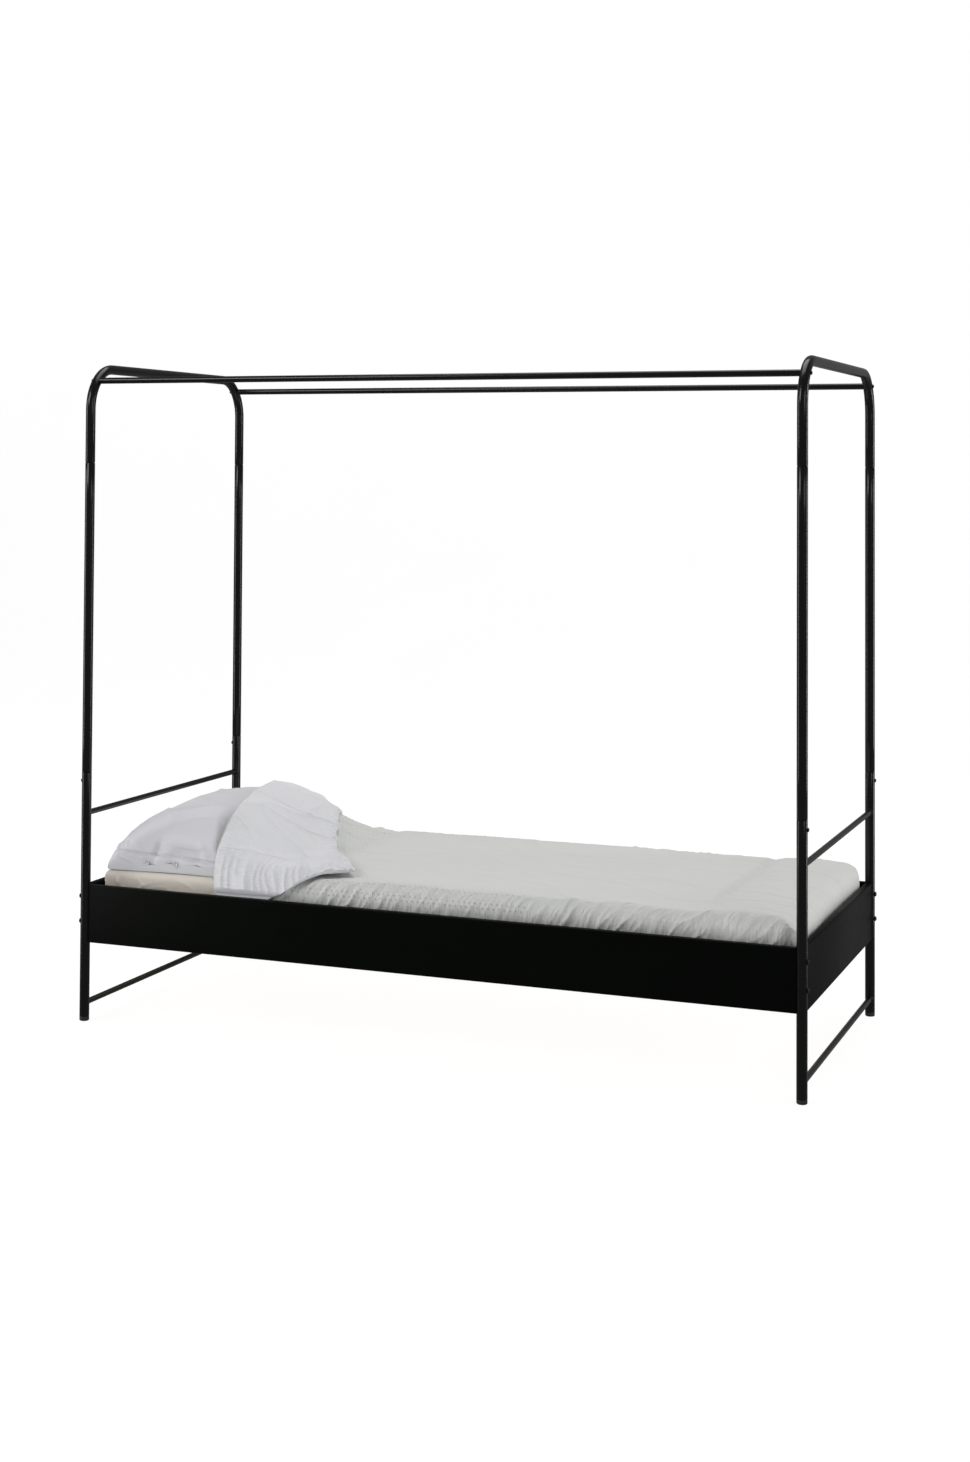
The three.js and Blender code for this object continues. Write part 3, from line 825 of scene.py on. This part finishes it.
def makeFittedSheet():
    low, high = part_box("fitted_sheet")
    halfX, halfY, edge, down = high.x, high.y, sheetSize["edge"], sheetSize["down"]
    profile = [(inset, high.z) for inset in sheetSize["rings"]]
    profile += [(a, high.z - b) for a, b in quarter(edge, 9)]
    profile += [(0.0, high.z - edge - (high.z - edge - low.z) * k / down) for k in range(1, down + 1)]
    rows = roundedBlock(halfX, halfY, sheetSize["corner"], profile, sheetSize["around"])
    x, y, z = rows[..., 0], rows[..., 1], rows[..., 2]
    depth = np.clip((high.z - z) / (high.z - low.z), 0, 1)
    turned = np.arctan2(y / halfY, x / halfX)
    atCorner = hump(np.abs(x), halfX, 0.09) * hump(np.abs(y), halfY, 0.09)
    pleat = ridges(turned * 70 + depth * 2.5 + softNoise(x, y, 0.05, 5) * 1.3, 2.0) * atCorner
    leanOne = ridges((x + z * 1.8) * 30 + softNoise(x, z, 0.07, 9) * 2, 3)
    leanTwo = ridges((x - z * 4.5) * 17 + softNoise(x, z, 0.08, 10) * 2, 4)
    waves = softNoise(x, y, 0.09, 8) * sheetSize["wave"] + (leanOne + leanTwo) * sheetSize["fold"]
    gather = np.sin(turned * 520) * sheetSize["gather"] * smoothstep(depth, 0.8, 1.0)
    onSide, onEnd = np.abs(y) > halfY * 0.9, np.abs(x) > halfX * 0.93
    outward = np.stack([x / halfX * onEnd, y / halfY * onSide, np.zeros_like(x)], -1)
    outward /= np.maximum(np.linalg.norm(outward, axis=-1), 0.5)[..., None]
    bare = np.where(y < 0, smoothstep(-x, *sheetSize["bareNear"]), smoothstep(-x, *sheetSize["bareFar"]))
    fold = np.maximum(pleat * sheetSize["pleat"] + waves, 0) * smoothstep(depth, 0.02, 0.3) * bare
    rows = rows + outward * (fold + np.maximum(gather, 0) * bare)[..., None]
    rows[..., 2] += softNoise(x, y, 0.09, 8) * sheetSize["ripple"] * (depth < 0.01)
    piece = gridPiece("fittedSheetCloth", rows, across=True, body="mattress", slot="sheet_cotton",
                      replaced=["fitted_sheet"])


# a case closed at its near end with buttons on a hemmed flange; tucks are (place along the bed, lean)
pillow = dict(
    x=-0.745, y=-0.03, halfX=0.238, halfY=0.408, crown=0.162, seam=0.022, hem=0.055, hemFall=0.05,
    buttons=(-0.86, -0.745, -0.63), tucks=((-0.838, 0.3), (-0.705, -0.25), (-0.775, 0.5)), count=(150, 270),
    slack=(0.007, 0.006), edgeFold=0.004, lumps=0.004, hemDepth=0.007, hollow=0.006, pinch=0.006, tuck=0.011,
    pull=0.006, underside=0.09, overSheet=0.0012,
)


# how full the pillow is at (a, b), each from -1 to 1, from 0 to 1
def pillowHeight(a, b):
    low = 1 - 0.10 * smoothstep(a, -0.2, 0.9)  # thinner where the duvet lies on it
    return ((1 - np.abs(a) ** 4.0) ** 0.34) * ((1 - np.abs(b) ** 4.0) ** 0.36) * low


# steps from -1 to 1, close together at both ends
def edgeSteps(count):
    cosines = [math.cos(turn) for turn in np.linspace(0, math.pi, count)]
    return np.array([-math.copysign(abs(c) ** 0.5, c) for c in cosines])


# how far the flange is moved in or out, at x along the bed and up above the sheet; side is 1 on the near end
def flangeShift(x, up, side):
    hem = pillow["hem"] - pillow["hemFall"] * (x - pillow["x"] + pillow["halfX"])
    hemLine = hump(up, hem, 0.0045) * side
    hollow = hump(up - hem, 0.020, 0.016) * side
    pinch = sum(hump(x, c, 0.010) for c in pillow["buttons"]) * hump(up, 0.030, 0.020)
    tuck = sum(hump(x - (up - 0.05) * lean, c, 0.008) for c, lean in pillow["tucks"]) * hump(up, 0.055, 0.04)
    pulls = ridges((x + up * 1.1) * 52 + softNoise(x, up, 0.05, 29) * 2.4, 2.5) * hump(up, 0.062, 0.034)
    inward = hemLine * pillow["hemDepth"] + hollow * pillow["hollow"] + pinch * pillow["pinch"]
    return (inward + tuck * pillow["tuck"] - pulls * pillow["pull"]) * side


def pillowGrid(top):
    across, along = pillow["count"]
    a = edgeSteps(across)[:, None] * np.ones(along)
    b = edgeSteps(along) * np.ones((across, 1))
    x = pillow["x"] + pillow["halfX"] * a * (1 - 0.045 * (1 - b**2) ** 1.5)
    y = pillow["y"] + pillow["halfY"] * b * (1 - 0.03 * (1 - a**2))
    full = pillowHeight(np.clip(a, -1, 1), np.clip(b, -1, 1))
    rest = sheetTop + pillow["overSheet"]
    seamZ = rest + 0.006 + pillow["seam"] * (1 - (a * b) ** 2) ** 2
    if not top:
        covered = smoothstep(x - foldX(y), -0.016, 0.0)
        flattened = np.minimum(seamZ, rest + 0.001 + (1 - covered) * 0.1)
        return np.stack([x, y, np.maximum(flattened - full * pillow["underside"], rest)], -1)
    z = seamZ + full * (pillow["crown"] - pillow["seam"] - 0.006)
    inner = smoothstep(full, 0.0, 0.45)
    # long slack folds run from corner to corner, and small ones gather along the seams
    slackOne, slackTwo = pillow["slack"]
    slack = ridges((x * 6.5 - y * 4.5) * 2.2 + softNoise(x, y, 0.2, 21) * 1.8, 4) * slackOne
    slack += ridges((x * 5 + y * 6.0) * 2.6 + softNoise(x, y, 0.22, 23) * 2.0, 5) * slackTwo
    edgeFolds = ridges(y * 95 + softNoise(x, y, 0.06, 25) * 3, 2) * hump(np.abs(a), 1, 0.16)
    lumps = fractal(x, y, 0.16, 27, 3) * pillow["lumps"]
    z = z + (slack + lumps + edgeFolds * pillow["edgeFold"]) * inner
    # a hem line that sinks towards the foot, pinched in at each button and tuck
    side = smoothstep(-b, 0.70, 0.96)
    y = y + flangeShift(x, z - rest, side)
    covered = smoothstep(x - foldX(y), -0.028 + 0.014 * side, -0.008 + 0.008 * side)
    z = z - covered * np.maximum(z - np.maximum(underDuvet(x, y), rest + 0.0018), 0)
    return np.stack([x, y, z], -1)


def makePillow():
    top, bottom = pillowGrid(True), pillowGrid(False)
    grids = [(top, False, False), (bottom[:, ::-1], False, False)]
    piece = joinedGrids("pillowCase", grids, body="pillow", slot="pillow_cotton", replaced=["pillow"])
    weld = piece.modifiers.new("seam", "WELD")
    weld.merge_threshold = 0.0004
    makeButtons(top)


# shell buttons with four stitches each, turned to face out of the flange
button = dict(
    facing=(0, -1, 0.35), up=0.026, off=(0, -0.0018, 0.0004), stitchOff=0.0016, stitchOut=0.0024,
    disc=[(0.0002, -0.0012), (0.0068, -0.0012), (0.0078, -0.0004), (0.0080, 0.0006), (0.0074, 0.0013),
          (0.0064, 0.0013), (0.0056, 0.0007), (0.0002, 0.0006)],
    stitch=[(0.0002, 0.0), (0.0007, 0.0004), (0.0007, 0.0012), (0.0002, 0.0015)],
)


def makeButtons(top):
    flat = top.reshape(-1, 3)
    away = (flat[:, 1] > -0.3) * 9  # keeps the search to the near end
    stitch = toAxis(turnedRows(button["stitch"], 10), button["facing"])
    for i, x in enumerate(pillow["buttons"]):
        miss = np.abs(flat[:, 0] - x) * 2 + np.abs(flat[:, 2] - sheetTop - button["up"]) + away
        seat = flat[np.argmin(miss)]
        rows = toAxis(turnedRows(button["disc"], 40), button["facing"]) + seat + button["off"]
        grids = [(rows, True, False)]
        for dx, dz in ((-1, -1), (1, -1), (-1, 1), (1, 1)):
            hole = (dx * button["stitchOff"], -button["stitchOut"], dz * button["stitchOff"])
            grids.append((stitch + seat + hole, True, False))
        joinedGrids(f"pillowButton{i + 1}", grids, finish=buttonShell, body="pillow", slot="pillow_cotton")


# the duvet lies over the mattress in sheet coordinates: x along the bed, v across it and down its sides;
# fold gives (v, x) of the line where it folds back on itself
duvet = dict(
    top=0.0215, side=0.4575, round=0.040, footX=1.0095, footRound=0.056, corner=0.052, hang=0.085,
    footHang=0.05, thick=0.012, hemThick=0.0015, count=(620, 420), insideStep=6, belowCrown=0.010,
    fold=[(-0.56, -0.612), (-0.44, -0.636), (-0.20, -0.690), (0.05, -0.738), (0.25, -0.765), (0.56, -0.790)],
    puckerFrom=0.455, pucker=0.0075, waves=0.0024, ripples=0.0010, lines=0.0018,
    creaseX=0.765, crease=0.012, swell=0.007, rampX=-0.425, ramp=0.004, climb=0.005,
)


def foldX(v):
    return np.interp(v, *zip(*duvet["fold"]))


# the height of the duvet's face over the bed
def bedHeight(x, y):
    b = np.clip((y - pillow["y"]) / (pillow["halfY"] + 0.018), -1, 1)
    overPillow = smoothstep(-x, 0.43, 0.74)
    bump = overPillow * (1 - np.abs(b) ** 3.2) ** 0.55
    return sheetTop + duvet["top"] + bump * (pillow["crown"] - duvet["belowCrown"])


# how steeply that face rises along the bed and across it
def slopes(x, y, step=0.004):
    alongBed = (bedHeight(x + step, y) - bedHeight(x - step, y)) / (2 * step)
    acrossBed = (bedHeight(x, y + step) - bedHeight(x, y - step)) / (2 * step)
    return alongBed, acrossBed


# how high the pillow may stand under the duvet
def underDuvet(x, y, gap=0.0055):
    alongBed, acrossBed = slopes(x, y)
    turn = np.clip((np.abs(y) - duvet["side"] + duvet["round"]) / duvet["round"], 0, 1)
    drop = duvet["round"] * (1 - np.sqrt(1 - turn**2))
    slanted = np.sqrt(1 + np.clip(alongBed**2 + acrossBed**2, 0, 4))
    return bedHeight(x, y) - drop - (duvet["thick"] + gap) * slanted


# how far the cloth stands off its smooth form
def wrinkles(x, v):
    near = v < 0
    # puckers gather at the edges, bunched at three places along the bed
    bunch = hump(x, -0.24, 0.15) + hump(x, 0.52, 0.22) + 0.5 * hump(x, 0.86, 0.08)
    bunch = 0.22 + 0.78 * np.clip(bunch, 0, 1)
    slant = (duvet["puckerFrom"] + v) * near
    drift = softNoise(x, v, 0.06, 31) * 0.8 + softNoise(x, v, 0.17, 32) * 0.9
    puckers = ridges((x - slant * 0.5) * 110 + drift, 1.3) * 0.7
    puckers = puckers + ridges((x - slant * 0.8) * 64 + drift * 1.6, 2.0)
    reach = 0.026 + 0.022 * (softNoise(x, v * 0, 0.05, 33) + 1)
    fall = hump(np.maximum(duvet["puckerFrom"] - np.abs(v) + 0.005, 0), 0, reach)
    uneven = np.clip(0.75 + 0.6 * softNoise(x, v, 0.035, 34), 0.15, 1.3)
    total = puckers * duvet["pucker"] * fall * bunch * uneven * np.where(near, 1, 0.5)
    # slow waves, small ripples and a few long lines all over
    total = total + fractal(x, v, 0.30, 35, 3) * duvet["waves"]
    total = total + fractal(x * 0.5, v, 0.06, 37, 3) * duvet["ripples"]
    total = total + ridges((x * 0.55 + v * 2.1) * 8 + softNoise(x, v, 0.25, 39) * 2.4, 6) * duvet["lines"]
    # one crease across, near the foot, with a swell beyond it
    crease = hump(x - 0.05 * hump(v, -0.46, 0.12), duvet["creaseX"], 0.017) * duvet["crease"]
    total = total - crease * (0.6 + 0.4 * softNoise(x, v, 0.2, 41)) + hump(x, 0.86, 0.07) * duvet["swell"]
    # a dip at the foot of the pillow and folds that climb onto it
    ramp = hump(x - 0.06 * softNoise(v, v * 0, 0.3, 43), duvet["rampX"], 0.02) * duvet["ramp"]
    climb = ridges((v * 1.1 - x * 1.7) * 19 + softNoise(x, v, 0.12, 45) * 2, 3) * smoothstep(-x, 0.40, 0.50)
    return total - ramp + climb * duvet["climb"]


# cloth turned down over an edge, at a distance along it: the angle turned, how far out and how far down
def overEdge(distance, edge, radius):
    past = np.maximum(distance - edge, 0)
    turn = np.minimum(past / radius, math.pi / 2)
    below = np.maximum(past - radius * math.pi / 2, 0)
    return turn, np.minimum(distance, edge) + np.sin(turn) * radius, (1 - np.cos(turn)) * radius + below


# places sheet coordinates on the bed; lift raises them off the duvet's face
def overBed(x, v, lift=0.0, folds=True):
    x, v = np.broadcast_arrays(np.asarray(x, float), np.asarray(v, float))
    stand = lift + (wrinkles(x, v) if folds else np.zeros_like(x))
    turn, outY, dropY = overEdge(np.abs(v), duvet["side"] - duvet["round"], duvet["round"])
    footEdge = duvet["footX"] - duvet["footRound"]
    turnX, placeX, dropX = overEdge(x, footEdge, duvet["footRound"])
    y = np.sign(v) * outY
    z = bedHeight(np.minimum(x, footEdge), y) - (dropX**2.5 + dropY**2.5) ** 0.4
    lean = np.stack([np.sin(turnX), np.sign(v) * np.sin(turn), np.cos(turn) * np.cos(turnX)], -1)
    # the slope over the pillow leans the cloth towards the foot
    alongBed, acrossBed = slopes(x, y)
    lean[..., 0] -= alongBed * np.cos(turn)
    lean[..., 1] -= np.clip(acrossBed, -3, 3) * np.cos(turn)
    lean /= np.linalg.norm(lean, axis=-1)[..., None]
    # plan corners at the foot are rounded too
    cornerR = duvet["corner"]
    cx, cy = duvet["footX"] - cornerR, duvet["side"] - cornerR
    ox, oy = placeX - cx, np.abs(y) - cy
    out = np.hypot(np.maximum(ox, 0), np.maximum(oy, 0))
    pull = np.where((ox > 0) & (oy > 0) & (out > cornerR), cornerR / np.maximum(out, 1e-9), 1.0)
    placeX = np.where(pull < 1, cx + ox * pull, placeX)
    y = np.where(pull < 1, np.sign(v) * (cy + oy * pull), y)
    placed = np.stack([placeX, y, z], -1) + lean * stand[..., None]
    # tucked in behind the top edge of the side panels
    limit = panelInside - 0.002 + smoothstep(placed[..., 2], panelTop + 0.004, panelTop + 0.045) * 0.035
    placed[..., 1] = np.clip(placed[..., 1], -limit, limit)
    return placed


# how much cloth it takes to go round a quarter turn that ends at reach
def clothReach(reach, radius, hang):
    return reach - radius + radius * math.pi / 2 + hang


def makeDuvet():
    along, across = duvet["count"]
    edge = clothReach(duvet["side"], duvet["round"], duvet["hang"])
    v = np.linspace(-edge, edge, across)[None, :]
    s = np.linspace(0, 1, along)[:, None]
    x = foldX(v) + (clothReach(duvet["footX"], duvet["footRound"], duvet["footHang"]) - foldX(v)) * s
    face = overBed(x, v + 0 * x)
    # the inner layer is coarser, and comes close to the outer one where it hangs
    sparse = np.r_[0:along - 1:duvet["insideStep"], along - 1]
    pastSide = (np.abs(v) - duvet["side"] + duvet["round"]) / duvet["round"]
    pastFoot = (x[sparse] - duvet["footX"] + duvet["footRound"]) / duvet["footRound"]
    thinner = (duvet["hemThick"] - duvet["thick"]) * np.clip(np.maximum(pastSide, pastFoot), 0, 1)
    inside = overBed(x[sparse], (v + 0 * x)[sparse], -(duvet["thick"] + thinner), folds=False)
    grids = [(face, False, False), (inside[:, ::-1], False, False)]
    for a, b in ((inside[0], face[0]), (face[-1], inside[-1])):
        grids.append((np.array([a, (a + b) / 2, b]), False, False))
    piece = joinedGrids("duvetCover", grids, body="duvet", slot="duvet_cotton", replaced=["duvet"])


# the duvet's corner turned back: its near edge dips into the gap beside the mattress and comes up again to
# the tip; both edges are (share of the way, x, v)
flap = dict(
    thick=0.013, gap=0.009, count=(190, 330), sole=0.0045, overFace=0.006, near=-0.53, wide=1.03,
    nearEdge=[(0.0, -0.612, -0.530), (0.25, -0.515, -0.535), (0.42, -0.455, -0.498), (0.6, -0.385, -0.466),
              (0.8, -0.315, -0.428), (1.0, -0.240, -0.358)],
    hemEdge=[(0.0, -0.240, -0.358), (0.12, -0.300, -0.270), (0.35, -0.410, -0.10), (0.6, -0.500, 0.08),
             (0.8, -0.575, 0.26), (1.0, -0.640, 0.50)],
    puff=0.006, gather=0.006, hemGather=0.005, drapes=(0.006, 0.005), tuck=0.0022, soft=0.003, waver=0.006,
)


# a rounded line through (t, x, v) points
def smoothLine(points, t, fineness=400, reach=30):
    points = np.array(points)
    fine = np.linspace(0, 1, fineness)
    window = np.hanning(2 * reach + 1) / np.hanning(2 * reach + 1).sum()
    lines = []
    for values in (points[:, 1], points[:, 2]):
        c = np.interp(fine, points[:, 0], values)
        padded = np.concatenate([2 * c[0] - c[reach:0:-1], c, 2 * c[-1] - c[-2:-reach - 2:-1]])
        lines.append(np.interp(t, fine, np.convolve(padded, window, "valid")))
    return lines


# fills the space between four edges: u runs from the fold to the hem, t from the near edge to the far one
def patch(u, t, fold, hem, near, far):
    filled = (1 - u) * fold + u * hem + (1 - t) * near + t * far
    nearCorners = fold[0, 0] * (1 - u) * (1 - t) + hem[0, 0] * u * (1 - t)
    return filled - (nearCorners + t * ((1 - u) * fold[0, -1] + u * hem[0, -1]))


def flapGrid():
    u = np.linspace(0, 1, flap["count"][0])[:, None]
    t = np.linspace(0, 1, flap["count"][1])[None, :]
    foldV = flap["near"] + t * flap["wide"]
    farV = foldV[0, -1]
    hemX, hemV = smoothLine(flap["hemEdge"], t)
    nearX, nearV = smoothLine(flap["nearEdge"], u)
    x = patch(u, t, foldX(foldV), hemX, nearX, foldX(farV) + (hemX[0, -1] - foldX(farV)) * u)
    v = patch(u, t, foldV, hemV, nearV, farV + 0 * u)
    # rolled down to nothing at the hem and near edge, and over a round bead at the fold
    hemDrop = 1 - smoothstep(u, 0.90, 1.0) * 0.55
    foldRound = np.sqrt(np.clip(1 - (1 - np.minimum(u / 0.07, 1)) ** 2, 0, 1))
    nearDrop = 1 - (1 - smoothstep(t, 0.0, 0.05)) * 0.5
    body = flap["thick"] * (0.35 + 0.65 * foldRound) * hemDrop * nearDrop + flap["overFace"]
    body = body + flap["puff"] * np.sin(math.pi * np.clip(u, 0, 1)) * np.sin(math.pi * np.clip(t * 1.1, 0, 1))
    # gathers along the two free edges, long drapes across the middle, and pin tucks by the fold
    gather = ridges((x + v * 0.3) * 120 + softNoise(x, v, 0.05, 61) * 2.4, 1.6) * hump(t, 0, 0.10)
    hemGather = ridges(v * 100 + softNoise(x, v, 0.05, 63) * 2.5, 1.8) * hump(u, 1, 0.10)
    drapeOne, drapeTwo = flap["drapes"]
    drapes = ridges((x * 2.2 + v) * 7 + softNoise(x, v, 0.2, 65) * 2.2, 4) * drapeOne
    drapes += ridges((x * 1.2 - v * 1.6) * 8 + softNoise(x, v, 0.2, 67) * 2.2, 5) * drapeTwo
    tucked = np.maximum(hump(u, 0, 0.16) * (1 - smoothstep(t, 0.25, 0.5)), hump(t, 0, 0.12) * 0.6)
    tucks = ridges((v + x * 0.25) * 260 + softNoise(x, v, 0.04, 73) * 1.2, 1.2) * flap["tuck"] * tucked
    folds = gather * flap["gather"] + hemGather * flap["hemGather"] + drapes + tucks
    soft = fractal(x, v, 0.14, 69, 4) * flap["soft"]
    waver = softNoise(v, v * 0, 0.05, 71) * flap["waver"] * (u > 0.5) * u
    # the near edge and the tip stand a little off the face below and throw a shadow on it
    atNear = hump(t, 0, 0.07) * smoothstep(u, 0.30, 0.6)
    atHem = hump(u, 1, 0.07) * (1 - smoothstep(t, 0.5, 0.9))
    hover = flap["gap"] * np.maximum(atNear, atHem)
    top = overBed(x + waver, v, body + folds + soft + hover, folds=False)
    base = overBed(x + waver, v, flap["sole"] + hover, folds=False)
    return top, base


def makeFlap():
    top, base = flapGrid()
    grids = [(top, False, False), (base[::3, ::-3], False, False)]
    rims = ((top[-1], base[-1]), (base[0], top[0]), (base[:, 0], top[:, 0]), (top[:, -1], base[:, -1]))
    for a, b in rims:
        middle = (a + b) / 2
        grids.append((np.array([a, (a + middle) / 2, middle, b]), False, False))
    piece = joinedGrids("duvetTurnedBack", grids, finish=liningCotton, body="duvet", slot="pillow_cotton",
                        replaced=["duvet"])


makeMattress()
makeFittedSheet()
makePillow()
makeDuvet()
makeFlap()
softenNodes()
print("bedding made")


# floor and light; each lamp has its place, the point it faces, its size and its watts
studio = dict(
    world=0.20, floorGlow=0.93, floorShade=(0.11, 0.13), reach=45.0, back=9.0, bend=3.0, wallTop=12.0,
    lamps={
        "keyLamp": ((-3.2, -4.6, 4.2), (0, 0, 0.6), (2.4, 2.4), 120),
        "fillLamp": ((5.6, -3.4, 3.0), (0, 0, 0.7), (2.6, 2.6), 45),
        "topLamp": ((0.0, 0.6, 5.4), (0, 0, 0.4), (3.4, 3.4), 110),
        "leftStrip": ((-3.9, -1.7, 1.3), (0, 0, 1.3), (0.6, 3.2), 44),
        "rightStrip": ((4.3, 1.7, 1.3), (0, 0, 1.3), (0.7, 3.2), 56),
    },
)


def makeFloor():
    paint = Finish("paleFloor", Roughness=0.9, Specular_IOR_Level=0.0, Emission_Strength=studio["floorGlow"])
    paint.surface.inputs["Emission Color"].default_value = (1, 1, 1, 1)
    dark, light = studio["floorShade"]
    paint.feed(Base_Color=paint.tint(paint.noise(1.5, 2), (dark,) * 3, (light,) * 3))
    reach, back, bend = studio["reach"], studio["back"], studio["bend"]
    # flat, then curved up into a wall behind the bed
    line = [(-reach, 0), (back - bend, 0)]
    turns = np.linspace(0, math.pi / 2, 24)
    line += [(back - bend + bend * math.sin(t), bend - bend * math.cos(t)) for t in turns]
    line += [(back, studio["wallTop"])]
    rows = [[(-reach, y, z), (reach, y, z)] for y, z in line]
    floor = gridPiece("studioFloor", rows, finish=paint.material, body=None)
    floor.visible_glossy = False  # keeps the white of the floor out of the black tubes


def makeLight():
    world = bpy.data.worlds.new("studio")
    bpy.context.scene.world = world
    world.use_nodes = True
    backdrop = world.node_tree.nodes["Background"]
    backdrop.inputs["Color"].default_value = (1.0, 1.0, 1.0, 1)
    backdrop.inputs["Strength"].default_value = studio["world"]
    for name, (place, target, (wide, tall), power) in studio["lamps"].items():
        data = bpy.data.lights.new(name, "AREA")
        data.shape, data.size, data.size_y, data.energy = "RECTANGLE", wide, tall, power
        lamp = bpy.data.objects.new(name, data)
        lamp.location = place
        lamp.rotation_euler = (Vector(place) - Vector(target)).to_track_quat("Z", "Y").to_euler()
        bpy.context.scene.collection.objects.link(lamp)


makeFloor()
makeLight()
bpy.context.scene.view_settings.view_transform = "Standard"
print("studio made")
